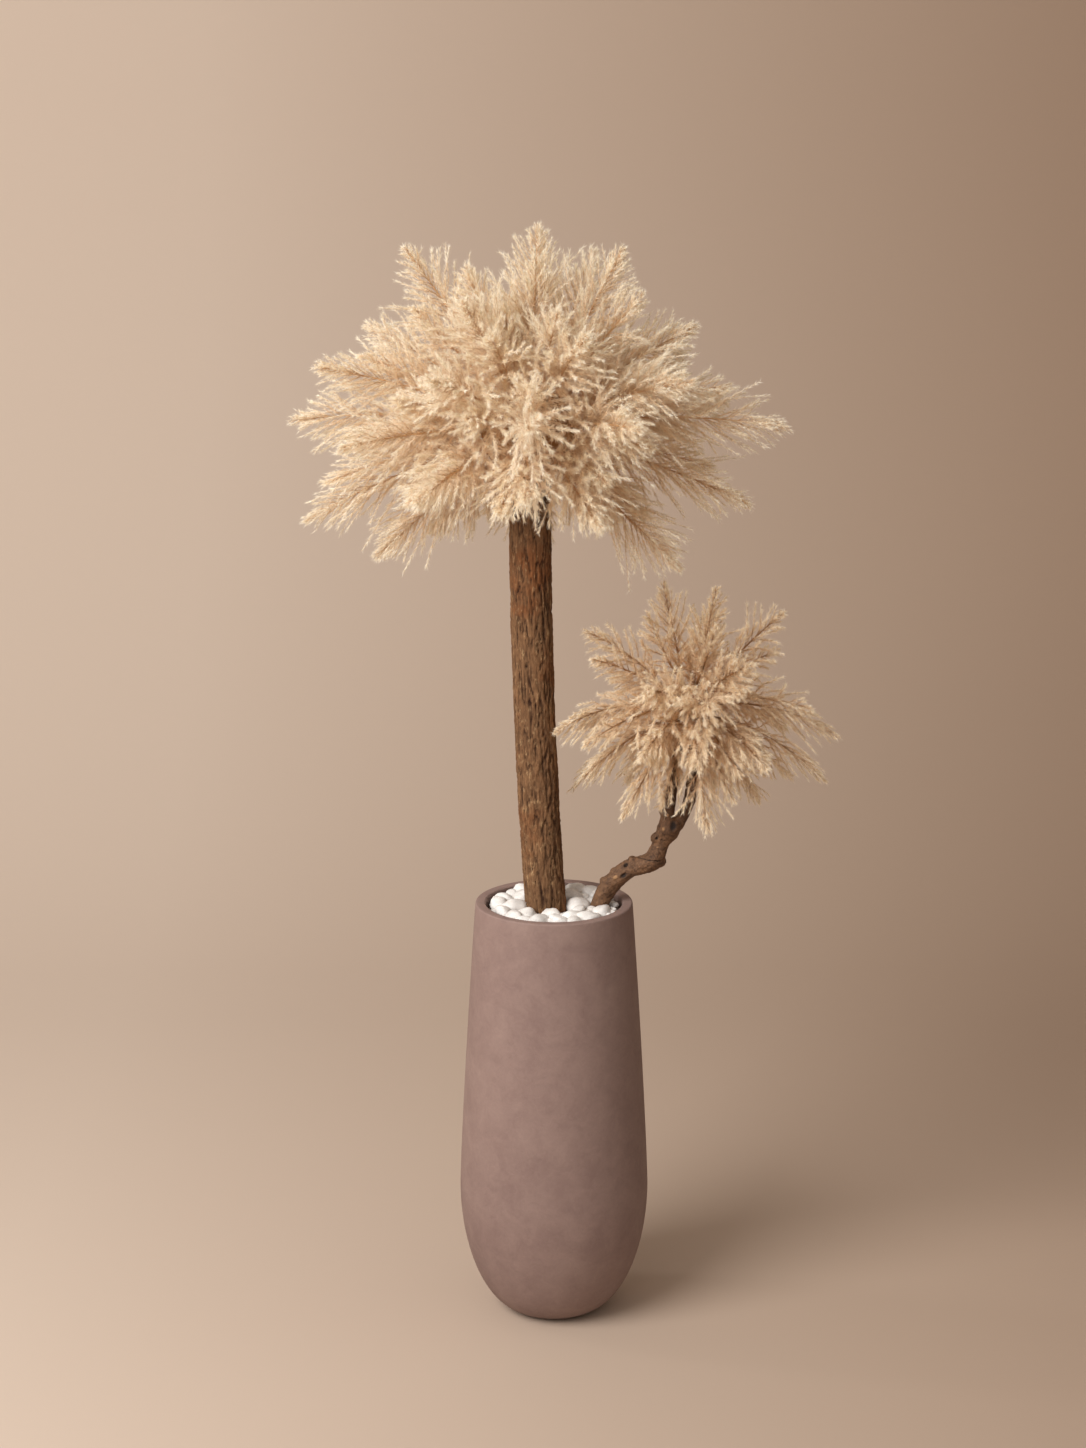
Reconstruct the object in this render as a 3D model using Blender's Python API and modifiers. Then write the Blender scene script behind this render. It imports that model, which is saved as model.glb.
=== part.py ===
"""A pampas grass tree in a tall pot: two balls of dried plumes on a bark-covered trunk and a
gnarled branch, which stand in a filled pot under white pebbles. Metres, +Z up. The origin is the
centre of the pot's foot, and -Y is the front."""

import math
import random

import bmesh
import bpy
from mathutils import Matrix, Vector

GAP = 0.0003

POT_HEIGHT = 0.675
RIM_RADIUS = 0.1225
BELLY_RADIUS = 0.149
BELLY_HEIGHT = 0.21
FOOT_RADIUS = 0.052
POT_WALL = 0.016
POT_SEGMENTS = 28
TAPER_POWER = 1.2

FILL_TOP = 0.635
BED_THICKNESS = 0.023
PEBBLE_SIZE = (0.036, 0.029, 0.022)
PEBBLE_SPACING = 0.0262
PEBBLE_MOUND = 0.011

TRUNK_RADIUS = 0.0305
TRUNK_SIDES = 22
BARK_RELIEF = 0.0022
TRUNK_BOTTOM = 0.30
TRUNK_HOLE_RADIUS = TRUNK_RADIUS + BARK_RELIEF + 0.0004

CROWN_CENTRE = Vector((-0.0356, 0.0, 1.413))
CROWN_BALL = 0.076
HEAD_CENTRE = Vector((0.2085, -0.01, 0.985))
HEAD_BALL = 0.040
TRUNK_TOP = CROWN_CENTRE.z - 0.042

STEM_RADIUS = 0.0026
HOLE_RADIUS = STEM_RADIUS + 0.0005

# The gnarled branch's centre line and radius, from its foot in the fill to below the fork.
BRANCH_LINE = (
    ((0.058, 0.018, 0.575), 0.0100),
    ((0.062, 0.012, 0.625), 0.0112),
    ((0.070, 0.004, 0.665), 0.0125),
    ((0.083, 0.000, 0.695), 0.0128),
    ((0.099, -0.002, 0.714), 0.0120),
    ((0.118, -0.003, 0.729), 0.0132),
    ((0.138, -0.004, 0.736), 0.0130),
    ((0.154, -0.005, 0.743), 0.0150),
    ((0.161, -0.006, 0.758), 0.0130),
    ((0.167, -0.007, 0.775), 0.0122),
    ((0.176, -0.008, 0.793), 0.0160),
    ((0.176, -0.009, 0.812), 0.0105),
    ((0.178, -0.010, 0.840), 0.0098),
    ((0.183, -0.010, 0.870), 0.0092),
    ((0.194, -0.010, 0.930), 0.0085),
    ((0.199, -0.010, 0.962), 0.0080),
)
# The fork's right prong starts inside the main limb.
PRONG_LINE = (
    ((0.178, -0.008, 0.784), 0.0085),
    ((0.188, -0.008, 0.797), 0.0100),
    ((0.196, -0.008, 0.812), 0.0098),
    ((0.205, -0.008, 0.829), 0.0092),
    ((0.210, -0.009, 0.848), 0.0090),
    ((0.214, -0.010, 0.900), 0.0082),
    ((0.216, -0.010, 0.962), 0.0075),
)

# Where the plumes seen from the front end, first those in outline and then those that face the
# front: metres to the right of, behind, and above the ball's centre.
CROWN_TIPS = (
    (0.011, 0.02, 0.304), (0.158, -0.02, 0.260), (0.255, 0.03, 0.142), (0.385, -0.02, 0.030),
    (0.335, 0.02, -0.105), (0.234, -0.03, -0.201), (-0.204, 0.02, 0.259), (-0.318, -0.02, 0.110),
    (-0.366, 0.02, -0.005), (-0.345, -0.03, -0.120), (-0.224, 0.02, -0.206), (-0.080, -0.03, 0.250),
    (0.000, -0.295, 0.070), (-0.020, -0.260, -0.080), (-0.135, -0.245, 0.085),
    (-0.180, -0.210, -0.085), (0.175, -0.230, 0.020), (0.115, -0.225, -0.095),
    (0.070, -0.190, 0.185), (-0.085, -0.165, 0.200), (0.250, -0.155, 0.100),
    (-0.275, -0.150, 0.020),
)
HEAD_TIPS = (
    (-0.058, 0.01, 0.190), (0.042, -0.02, 0.188), (0.154, 0.02, 0.131), (0.224, -0.02, -0.029),
    (0.205, 0.02, -0.132), (-0.088, -0.075, -0.160), (0.092, 0.070, -0.170),
    (-0.186, 0.02, -0.135), (-0.203, -0.075, -0.035), (-0.170, 0.01, 0.107),
    (-0.062, -0.135, 0.055), (0.010, -0.160, 0.040), (0.085, -0.120, 0.080),
    (0.015, -0.155, -0.045), (0.100, -0.120, -0.075), (-0.080, -0.130, -0.060),
)
CROWN = {
    "name": "crown", "centre": CROWN_CENTRE, "ball": CROWN_BALL, "tips": CROWN_TIPS, "count": 31,
    "reach": (0.335, 0.285, 0.255), "bare": math.radians(49), "droop": 0.50, "width": 0.052,
    "depth": 0.030, "levels": (7, 4), "seed": 4,
}
HEAD = {
    "name": "head", "centre": HEAD_CENTRE, "ball": HEAD_BALL, "tips": HEAD_TIPS, "count": 22,
    "reach": (0.205, 0.175, 0.190), "bare": math.radians(38), "droop": 2.2, "width": 0.030,
    "depth": 0.020, "levels": (5, 4), "seed": 11,
}
PLUME_SIDES = 4
CANDIDATES = 900


def clear_scene():
    for obj in list(bpy.data.objects):
        bpy.data.objects.remove(obj, do_unlink=True)


def new_collection(name):
    collection = bpy.data.collections.new(name)
    bpy.context.scene.collection.children.link(collection)
    return collection


def new_material(name, colour, roughness):
    material = bpy.data.materials.new(name)
    material.use_nodes = True
    shader = material.node_tree.nodes["Principled BSDF"]
    shader.inputs["Base Color"].default_value = (*colour, 1.0)
    shader.inputs["Roughness"].default_value = roughness
    shader.inputs["Metallic"].default_value = 0.0
    return material


def new_object(name, bm, collection, material=None):
    """Turns a bmesh into an object."""
    mesh = bpy.data.meshes.new(name)
    bm.to_mesh(mesh)
    bm.free()
    obj = bpy.data.objects.new(name, mesh)
    collection.objects.link(obj)
    if material:
        mesh.materials.append(material)
    return obj


def add_boolean(obj, operation, operand, solver="EXACT"):
    """Joins or cuts an object with another object or with a whole collection."""
    modifier = obj.modifiers.new(operation.title(), "BOOLEAN")
    modifier.operation = operation
    modifier.solver = solver
    if isinstance(operand, bpy.types.Collection):
        modifier.operand_type = "COLLECTION"
        modifier.collection = operand
    else:
        modifier.object = operand
    return modifier


def apply_modifiers(obj):
    """Replaces an object's mesh with the one that its modifiers make."""
    bpy.context.view_layer.update()
    graph = bpy.context.evaluated_depsgraph_get()
    mesh = bpy.data.meshes.new_from_object(obj.evaluated_get(graph))
    obj.modifiers.clear()
    obj.data = mesh


def empty_out(collection):
    for obj in list(collection.objects):
        bpy.data.objects.remove(obj, do_unlink=True)


def as_cutter(obj):
    obj.hide_render = True
    obj.display_type = "WIRE"
    return obj


def smooth_point(points, share):
    """The point at this share of a smooth curve through the points."""
    place = max(0.0, min(share, 0.999999)) * (len(points) - 1)
    first = int(place)
    t = place - first
    ends = [points[max(0, min(first + k, len(points) - 1))] for k in (-1, 0, 1, 2)]
    a, b, c, d = (Vector(p) for p in ends)
    return 0.5 * (2 * b + (c - a) * t + (2 * a - 5 * b + 4 * c - d) * t**2
                  + (3 * b - a - 3 * c + d) * t**3)


def limb(sides, levels, centre_at, radius_at, twist_at=None):
    """A capped cylinder, cut into levels and bent along a line. The rules for its centre and
    radius take a share of the length from 0 to 1, and radius_at also takes the angle round the
    limb. The twist is by level."""
    bm = bmesh.new()
    bmesh.ops.create_cone(bm, cap_ends=True, segments=sides, radius1=1, radius2=1, depth=1)
    bmesh.ops.translate(bm, verts=bm.verts, vec=(0, 0, 0.5))
    for level in range(1, levels):
        everything = bm.verts[:] + bm.edges[:] + bm.faces[:]
        bmesh.ops.bisect_plane(
            bm, geom=everything, plane_co=(0, 0, level / levels), plane_no=(0, 0, 1))
    across = Vector((0, 1, 0))
    step = 0.5 / levels
    frames = []
    for level in range(levels + 1):
        share = level / levels
        along = centre_at(min(share + step, 1)) - centre_at(max(share - step, 0))
        along.normalize()
        across = (across - along * across.dot(along)).normalized()
        frames.append((centre_at(share), across.copy(), along.cross(across)))
    for vert in bm.verts:
        share = vert.co.z
        level = round(share * levels)
        angle = math.atan2(vert.co.y, vert.co.x) + (twist_at(level) if twist_at else 0)
        centre, side, up = frames[level]
        radius = radius_at(share, angle)
        vert.co = centre + radius * (math.cos(angle) * side + math.sin(angle) * up)
    return bm


def pot_outline(inset=0.0):
    """Radius and height of points down the pot's side, from the rim to the foot, moved in
    towards the inside by the inset."""
    taper = (1.0, 0.7, 0.35, 0.0)
    line = [
        (BELLY_RADIUS - (BELLY_RADIUS - RIM_RADIUS) * t**TAPER_POWER,
         BELLY_HEIGHT + (POT_HEIGHT - BELLY_HEIGHT) * t)
        for t in taper
    ]
    for k in range(1, 6):
        turn = math.radians(18 * k)
        line.append((FOOT_RADIUS + (BELLY_RADIUS - FOOT_RADIUS) * math.cos(turn),
                     BELLY_HEIGHT * (1 - math.sin(turn))))
    moved = []
    for k, (radius, height) in enumerate(line):
        before, after = line[max(k - 1, 0)], line[min(k + 1, len(line) - 1)]
        run, drop = after[0] - before[0], before[1] - after[1]
        if k == len(line) - 1:
            run, drop = -1.0, 0.0
        size = math.hypot(run, drop)
        moved.append((radius - inset * drop / size, height - inset * run / size))
    return moved


def pot_radius_inside(height):
    """The inner wall's radius at a height above the belly."""
    line = pot_outline(POT_WALL)
    for (upper_r, upper_z), (lower_r, lower_z) in zip(line, line[1:]):
        if lower_z <= height <= upper_z:
            share = (height - lower_z) / (upper_z - lower_z)
            return lower_r + (upper_r - lower_r) * share
    return line[0][0]


def turned(name, profile, collection, material, segments=POT_SEGMENTS):
    """A profile of radius and height, turned round the Z axis."""
    mesh = bpy.data.meshes.new(name)
    points = [(radius, 0.0, height) for radius, height in profile]
    mesh.from_pydata(points, [(k, k + 1) for k in range(len(points) - 1)], [])
    mesh.materials.append(material)
    obj = bpy.data.objects.new(name, mesh)
    collection.objects.link(obj)
    screw = obj.modifiers.new("Turn", "SCREW")
    screw.steps = screw.render_steps = segments
    screw.use_merge_vertices = True
    screw.merge_threshold = 0.0001
    return obj


def make_pot(collection, material):
    """An open shell: from the middle of its floor up the inside, over a flat rim with eased
    edges, and down the outside to the flat foot."""
    ease = 0.003
    outside, inside = pot_outline(), pot_outline(POT_WALL)
    rim_out, rim_in = outside[0][0], inside[0][0]
    profile = [(0.0, inside[-1][1]), *reversed(inside[1:]),
               (rim_in, POT_HEIGHT - ease), (rim_in + ease, POT_HEIGHT),
               (rim_out - ease, POT_HEIGHT), (rim_out, POT_HEIGHT - ease),
               *outside[1:], (0.0, 0.0)]
    return turned("pot", profile, collection, material)


def trunk_centre(height):
    """The trunk leans to the left as it leaves the pebbles, less and less towards the top, and
    is straight inside the pot and inside the crown."""
    t = min((height - 0.69) / 0.61, 1.0)
    bend = 2 * t - t * t if t > 0 else 2 * t
    return Vector((-0.014 - 0.022 * bend, 0.0, height))


def bark(share, angle):
    """Furrows run up the trunk and wander a little from side to side."""
    wander = 0.5 * math.sin(9 * share) + 0.35 * math.sin(23 * share + 1)
    ridge = 0.6 * math.sin(9 * (angle + wander * 0.35)) + 0.4 * math.sin(5 * angle + 31 * share)
    return TRUNK_RADIUS + BARK_RELIEF * ridge


def make_trunk(collection, material):
    length = TRUNK_TOP - TRUNK_BOTTOM
    bm = limb(TRUNK_SIDES, 13, lambda share: trunk_centre(TRUNK_BOTTOM + length * share), bark)
    return new_object("trunk", bm, collection, material)


def knot_radius(line, swell):
    """A branch's radius along its line, with knots and hollows round it."""
    radii = [(r, 0, 0) for _, r in line]

    def radius_at(share, angle):
        lump = math.sin(2 * angle + 17 * share) + 0.6 * math.sin(3 * angle - 29 * share)
        return smooth_point(radii, share).x * (1 + swell * lump)
    return radius_at


def branch_limb(line, extra=0.0, sides=10, levels=22, swell=0.07):
    """The branch, or, with extra, a sleeve that is bigger all round and cuts its hole."""
    centres = [p for p, _ in line]
    radius = knot_radius(line, swell)
    return limb(sides, levels, lambda t: smooth_point(centres, t), lambda t, a: radius(t, a) + extra)


def make_branch(collection, cutters, material):
    prong = new_object("prong", branch_limb(PRONG_LINE, sides=8, levels=7), cutters)
    branch = new_object("branch", branch_limb(BRANCH_LINE), collection, material)
    add_boolean(branch, "UNION", prong)
    apply_modifiers(branch)
    empty_out(cutters)
    return branch


def rod(name, radius, low, high, collection, sides=24):
    """An upright or slanted plain cylinder between two points."""
    low, high = Vector(low), Vector(high)
    bm = bmesh.new()
    bmesh.ops.create_cone(bm, cap_ends=True, segments=sides, radius1=radius, radius2=radius,
                          depth=(high - low).length)
    turn = (high - low).to_track_quat("Z", "Y").to_matrix().to_4x4()
    bmesh.ops.transform(bm, verts=bm.verts, matrix=Matrix.Translation((low + high) / 2) @ turn)
    return new_object(name, bm, collection)


def trunk_sleeve(name, bottom, top, collection):
    """The plain hole that the trunk stands in, where the trunk is straight."""
    low, high = trunk_centre(bottom), trunk_centre(top)
    bm = limb(TRUNK_SIDES, 1, lambda t: low.lerp(high, t), lambda t, a: TRUNK_HOLE_RADIUS)
    return as_cutter(new_object(name, bm, collection))


def branch_sleeve(name, collection):
    return as_cutter(new_object(name, branch_limb(BRANCH_LINE, extra=0.0009), collection))


def make_fill(collection, cutters, material):
    inside = pot_outline(POT_WALL + 0.0005)
    rim = pot_radius_inside(FILL_TOP) - 0.0005
    side = [(r, z) for r, z in inside if z < FILL_TOP]
    profile = [(0.0, FILL_TOP), (rim, FILL_TOP), *side, (0.0, side[-1][1])]
    fill = turned("potting_fill", profile, collection, material)
    trunk_sleeve("trunk_hole", TRUNK_BOTTOM - GAP, FILL_TOP + 0.02, cutters)
    branch_sleeve("branch_hole", cutters)
    add_boolean(fill, "DIFFERENCE", cutters)
    apply_modifiers(fill)
    empty_out(cutters)
    return fill


def distance_to_branch(x, y):
    """How far a spot on the pebbles is from where the branch passes through and over them."""
    low = [Vector(p) for p, _ in BRANCH_LINE if 0.62 < p[2] < 0.70]
    return min((Vector((x, y)) - p.xy).length for p in low)


def pebble_places(rng):
    """Spots for pebbles, packed by trying seeded spots and keeping those with room."""
    wall = pot_radius_inside(POT_HEIGHT)
    trunk = trunk_centre(FILL_TOP).xy
    kept = []
    for _ in range(6000):
        spread, turn = math.sqrt(rng.random()), rng.random() * math.tau
        size = rng.uniform(0.8, 1.1)
        room = PEBBLE_SIZE[0] / 2 * size
        spot = Vector((math.cos(turn), math.sin(turn))) * spread * (wall - room * 1.1 - 0.002)
        if (spot - trunk).length < TRUNK_RADIUS + room * 0.8:
            continue
        if distance_to_branch(*spot) < 0.013 + room * 0.7:
            continue
        if all((spot - other).length > PEBBLE_SPACING * (size + s) / 2 for other, s in kept):
            kept.append((spot, size))
    return kept


def pebble(name, place, size, rng, collection):
    """One rounded stone."""
    bm = bmesh.new()
    bmesh.ops.create_uvsphere(bm, u_segments=6, v_segments=4, radius=0.5)
    half = [s * size * rng.uniform(0.9, 1.08) for s in PEBBLE_SIZE]
    turn = Matrix.Rotation(rng.random() * math.tau, 4, "Z")
    tilt = Matrix.Rotation(rng.uniform(-0.45, 0.45), 4, "X")
    grow = Matrix.Diagonal((*half, 1))
    bmesh.ops.transform(bm, verts=bm.verts, matrix=Matrix.Translation(place) @ turn @ tilt @ grow)
    return new_object(name, bm, collection)


def make_pebbles(collection, stones, cutters, material):
    """White pebbles sunk in a bed of their own grit, heaped a little towards the back."""
    rng = random.Random(7)
    low = FILL_TOP + GAP
    top = low + BED_THICKNESS
    narrow, wide = pot_radius_inside(top + PEBBLE_MOUND) - 0.0006, pot_radius_inside(low) - 0.0006
    bm = bmesh.new()
    bmesh.ops.create_cone(bm, cap_ends=True, segments=POT_SEGMENTS, radius1=wide, radius2=narrow,
                          depth=BED_THICKNESS)
    bmesh.ops.translate(bm, verts=bm.verts, vec=(0, 0, low + BED_THICKNESS / 2))
    for vert in bm.verts:
        if vert.co.z > low + BED_THICKNESS / 2:
            vert.co.z += PEBBLE_MOUND * (0.5 + 0.5 * vert.co.y / narrow)
    bed = new_object("pebbles", bm, collection, material)
    for number, (spot, size) in enumerate(pebble_places(rng)):
        mound = PEBBLE_MOUND * (0.5 + 0.5 * spot.y / narrow)
        height = top + 0.003 + mound + rng.uniform(0, 0.003)
        pebble(f"stone_{number}", (spot.x, spot.y, height), size, rng, stones)
    add_boolean(bed, "UNION", stones)
    apply_modifiers(bed)
    empty_out(stones)
    trunk_sleeve("trunk_gap", low - 0.02, top + 0.05, cutters)
    branch_sleeve("branch_gap", cutters)
    add_boolean(bed, "DIFFERENCE", cutters)
    apply_modifiers(bed)
    empty_out(cutters)
    return bed


def plume_directions(group):
    """Directions of the plumes' places on a ball: first those seen in outline, then the rest,
    each as far as it can be from those before it and clear of what holds the ball."""
    droop, ball = group["droop"], group["ball"]
    kept = []
    for x, y, z in group["tips"]:
        straight = Vector((x, y, z + droop * max(0.0, math.hypot(x, y) - ball) ** 2))
        kept.append((straight.normalized(), straight.length))
    golden = math.pi * (3 - math.sqrt(5))
    candidates = []
    for k in range(CANDIDATES):
        z = 1 - 2 * (k + 0.5) / CANDIDATES
        flat = math.sqrt(1 - z * z)
        candidates.append(Vector((flat * math.cos(golden * k), flat * math.sin(golden * k), z)))
    lowest = -math.cos(group["bare"])
    candidates = [c for c in candidates if c.z > lowest]
    rng = random.Random(group["seed"])
    wide, up, down = group["reach"]
    while len(kept) < group["count"]:
        best = max(candidates, key=lambda c: min(c.angle(d) for d, _ in kept))
        tall = up if best.z > 0 else down
        length = 1 / math.sqrt((1 - best.z**2) / wide**2 + best.z**2 / tall**2)
        kept.append((best, length * rng.uniform(0.88, 1.06)))
    return kept


def plume_axes(group):
    """For each node, its place's direction, and the main and the side plume's direction, length,
    and half angle. The two share the cone of room that the nearest neighbours leave."""
    places = plume_directions(group)
    rng = random.Random(group["seed"] + 1)
    made = []
    for number, (middle, length) in enumerate(places):
        others = [d for k, (d, _) in enumerate(places) if k != number]
        room = min(middle.angle(d) for d in others) / 2 * 0.94
        side = middle.orthogonal().normalized()
        side.rotate(Matrix.Rotation(rng.random() * math.tau, 3, middle))
        main = (middle * math.cos(room * 0.36) - side * math.sin(room * 0.36)).normalized()
        second = (middle * math.cos(room * 0.62) + side * math.sin(room * 0.62)).normalized()
        made.append((middle, (main, length, room * 0.6),
                     (second, length * rng.uniform(0.72, 0.9), room * 0.36)))
    return made


def drooped(point, group):
    """Plumes sag under their own weight, more the further out they reach."""
    offset = point - group["centre"]
    reach = max(0.0, math.hypot(offset.x, offset.y) - group["ball"])
    return point - Vector((0, 0, group["droop"] * reach**2))


def plume_profile(u):
    """How full a plume is along its length: quickly full, then slowly down to a point."""
    u = max(0.0, min(u, 1.0))
    return 2.25 * math.sqrt(u) * (1 - u) ** 0.85


def tuft_point(group, direction, room, length, middle, out, size):
    """Where a tuft on the core ends. It leans out less and less towards the plume's end, so that
    no tuft crosses the next, and it stays inside the plume's own cone of room."""
    centre, base = group["centre"], group["ball"]
    along = (middle - centre).dot(direction)
    u = (along - base) / (length - base)
    radius = out.length
    lean = math.tan(math.radians(46 - 31 * u))
    spread = group["width"] * plume_profile(u + 0.1) * size
    cone = math.tan(room) * 0.96
    if lean > cone:
        spread = min(spread, cone * (along - radius / lean) / (1 - cone / lean))
    spread = min(spread, radius + (length * 0.985 - along) * lean)
    spread = max(spread, radius + 0.001)
    ahead = along + (spread - radius) / lean
    return centre + direction * ahead + out.normalized() * spread


def plume(name, group, middle, axis, levels, start, rng, collection, material=None):
    """A stem that leaves the ball along the middle direction and bends to its own axis, with
    tufts raised all round it: each face of the slim core is drawn out and forward to a point."""
    direction, length, room = axis
    centre, ball = group["centre"], group["ball"]
    base = ball + 0.004
    feather = length - base
    stem_share = 1 / (levels + 1)

    def reach_at(share):
        """Distance from the ball's centre at a share of the limb."""
        if share < stem_share:
            return start + (base - start) * share / stem_share
        return base + feather * 0.93 * (share - stem_share) / (1 - stem_share)

    def centre_at(share):
        reach = reach_at(share)
        turn = max(0.0, min((reach - ball + 0.002) / (0.35 * feather), 1.0))
        way = middle.lerp(direction, turn * turn * (3 - 2 * turn)).normalized()
        return centre + way * reach

    def radius_at(share, _angle):
        if share <= stem_share * 1.01:
            return STEM_RADIUS if start < ball else STEM_RADIUS * 0.7
        u = (reach_at(share) - base) / feather
        return 0.0022 + 0.0068 * math.sin(math.pi * min(1, u * 0.9 + 0.1)) * (1 - 0.5 * u)

    def twist_at(level):
        return math.pi / PLUME_SIDES * max(0, level - 1)

    bm = limb(PLUME_SIDES, levels + 1, centre_at, radius_at, twist_at)
    last = max(bm.faces, key=lambda f: (f.calc_center_median() - centre).dot(direction))
    sides = []
    for face in bm.faces:
        middle_of_face = face.calc_center_median()
        if face is not last and (middle_of_face - centre).length > base:
            sides.append((face, middle_of_face))
    ends = [centre + direction * length]
    for face, place in sides:
        along = (place - centre).dot(direction)
        share = stem_share + (1 - stem_share) * (along - base) / (0.93 * feather)
        out = place - centre_at(share)
        out -= direction * out.dot(direction)
        ends.append(tuft_point(group, direction, room, length, place, out, rng.uniform(0.8, 1.0)))
    tips = bmesh.ops.poke(bm, faces=[last] + [face for face, _ in sides])["verts"]
    for vert, end in zip(tips, ends):
        vert.co = end
    for vert in bm.verts:
        vert.co = drooped(vert.co, group)
    return new_object(name, bm, collection, material)


def make_plumes(group, collection, repeats, material):
    """One node for each wired stem: a main plume and a smaller one beside it."""
    rng = random.Random(group["seed"] + 2)
    main_levels, second_levels = group["levels"]
    foot = group["ball"] - group["depth"]
    nodes = []
    for number, (middle, main, second) in enumerate(plume_axes(group)):
        name = f"{group['name']}_plume_{number + 1:02d}"
        node = plume(name, group, middle, main, main_levels, foot, rng, collection, material)
        plume("side", group, middle, second, second_levels, group["ball"] + 0.001, rng, repeats)
        add_boolean(node, "UNION", repeats, solver="MANIFOLD")
        apply_modifiers(node)
        empty_out(repeats)
        nodes.append(node)
    return nodes


def make_ball(group, collection, cutters, material, segments, rings):
    """The foam ball, with a plain hole for each stem."""
    bm = bmesh.new()
    bmesh.ops.create_uvsphere(bm, u_segments=segments, v_segments=rings, radius=group["ball"])
    bmesh.ops.translate(bm, verts=bm.verts, vec=group["centre"])
    ball = new_object(f"{group['name']}_foam", bm, collection, material)
    foot = group["ball"] - group["depth"] - GAP
    top = group["ball"] + 0.02
    for number, (middle, _, _) in enumerate(plume_axes(group)):
        bm = limb(PLUME_SIDES, 1, lambda t: group["centre"] + middle * (foot + (top - foot) * t),
                  lambda t, a: HOLE_RADIUS)
        as_cutter(new_object(f"hole_{number}", bm, cutters))
    return ball


def make_crown_ball(collection, cutters, material):
    ball = make_ball(CROWN, collection, cutters, material, 14, 8)
    trunk_sleeve("trunk_seat", TRUNK_TOP - 0.12, TRUNK_TOP + GAP, cutters)
    add_boolean(ball, "DIFFERENCE", cutters)
    apply_modifiers(ball)
    empty_out(cutters)
    return ball


def make_head_ball(collection, cutters, material):
    ball = make_ball(HEAD, collection, cutters, material, 12, 6)
    for number, line in enumerate((BRANCH_LINE, PRONG_LINE)):
        end = Vector(line[-1][0])
        along = (end - Vector(line[-2][0])).normalized()
        seat = rod(f"prong_hole_{number}", line[-1][1] * 1.35, end - along * 0.08,
                   end + along * GAP, cutters, sides=10)
        as_cutter(seat)
    add_boolean(ball, "DIFFERENCE", cutters)
    apply_modifiers(ball)
    empty_out(cutters)
    return ball


def main():
    clear_scene()
    tree = new_collection("pampas_grass_tree")
    cutters = new_collection("cutters")
    repeats = new_collection("repeats")
    clay = new_material("mauve_pot", (0.27, 0.18, 0.15), 0.75)
    soil = new_material("potting_fill", (0.06, 0.04, 0.03), 0.95)
    stone = new_material("white_pebbles", (0.74, 0.72, 0.70), 0.7)
    trunk_bark = new_material("trunk_bark", (0.17, 0.09, 0.04), 0.9)
    branch_wood = new_material("branch_wood", (0.12, 0.06, 0.03), 0.75)
    foam = new_material("foam", (0.40, 0.30, 0.18), 0.95)
    straw = new_material("plume_straw", (0.80, 0.61, 0.40), 0.9)
    make_pot(tree, clay)
    make_fill(tree, cutters, soil)
    make_pebbles(tree, repeats, cutters, stone)
    make_trunk(tree, trunk_bark)
    make_branch(tree, cutters, branch_wood)
    make_crown_ball(tree, cutters, foam)
    make_head_ball(tree, cutters, foam)
    make_plumes(CROWN, tree, repeats, straw)
    make_plumes(HEAD, tree, repeats, straw)


main()
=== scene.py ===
"""The looks of a pampas grass tree: silky plumes in two heads on a bark-covered trunk and a knotted
branch, in a tall mauve pot topped with white pebbles."""

import math
import random

import bpy
import numpy as np
from mathutils import Matrix, Vector, noise


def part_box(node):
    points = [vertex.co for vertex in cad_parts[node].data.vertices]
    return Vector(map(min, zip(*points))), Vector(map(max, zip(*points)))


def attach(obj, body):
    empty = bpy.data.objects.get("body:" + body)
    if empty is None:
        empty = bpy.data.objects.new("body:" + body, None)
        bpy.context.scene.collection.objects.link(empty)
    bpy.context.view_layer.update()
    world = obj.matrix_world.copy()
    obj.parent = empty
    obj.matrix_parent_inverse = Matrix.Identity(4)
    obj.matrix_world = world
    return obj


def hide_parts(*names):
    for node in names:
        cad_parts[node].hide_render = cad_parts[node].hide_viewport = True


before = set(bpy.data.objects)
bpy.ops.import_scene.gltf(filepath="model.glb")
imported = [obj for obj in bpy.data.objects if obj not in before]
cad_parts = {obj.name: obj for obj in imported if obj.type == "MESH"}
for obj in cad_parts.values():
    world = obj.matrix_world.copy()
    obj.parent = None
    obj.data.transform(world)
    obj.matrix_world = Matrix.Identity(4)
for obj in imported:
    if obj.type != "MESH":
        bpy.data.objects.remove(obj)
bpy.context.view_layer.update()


# Camera: a long lens in front of the tree, a little above it, tilted down on it.

camera = bpy.data.objects.new("camera", bpy.data.cameras.new("camera"))
bpy.context.scene.collection.objects.link(camera)
camera.location = (0.0, -4.5, 2.056)
camera.rotation_euler = (math.radians(90 - 13.7), 0.0, 0.0)
camera.data.lens = 75.0
camera.data.sensor_width = 36.0
camera.data.shift_x = -0.0076
bpy.context.scene.camera = camera


# Finishes: every surface is a Principled shader fed by worked-out colours. A Wire is a value in
# the shader, and sums and products of wires are written as in ordinary Python.

class Wire:
    def __init__(self, finish, socket):
        self.finish = finish
        self.socket = socket

    def maths(self, operation, first, second, clamp=False):
        return self.finish.node("ShaderNodeMath", {0: first, 1: second},
                                operation=operation, use_clamp=clamp)

    def __add__(self, other):
        return self.maths("ADD", self, other)

    def __sub__(self, other):
        return self.maths("SUBTRACT", self, other)

    def __rsub__(self, other):
        return self.maths("SUBTRACT", other, self)

    def __mul__(self, other):
        return self.maths("MULTIPLY", self, other)

    __radd__ = __add__
    __rmul__ = __mul__

    def clamped(self):
        return self.maths("ADD", self, 0.0, clamp=True)


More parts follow.
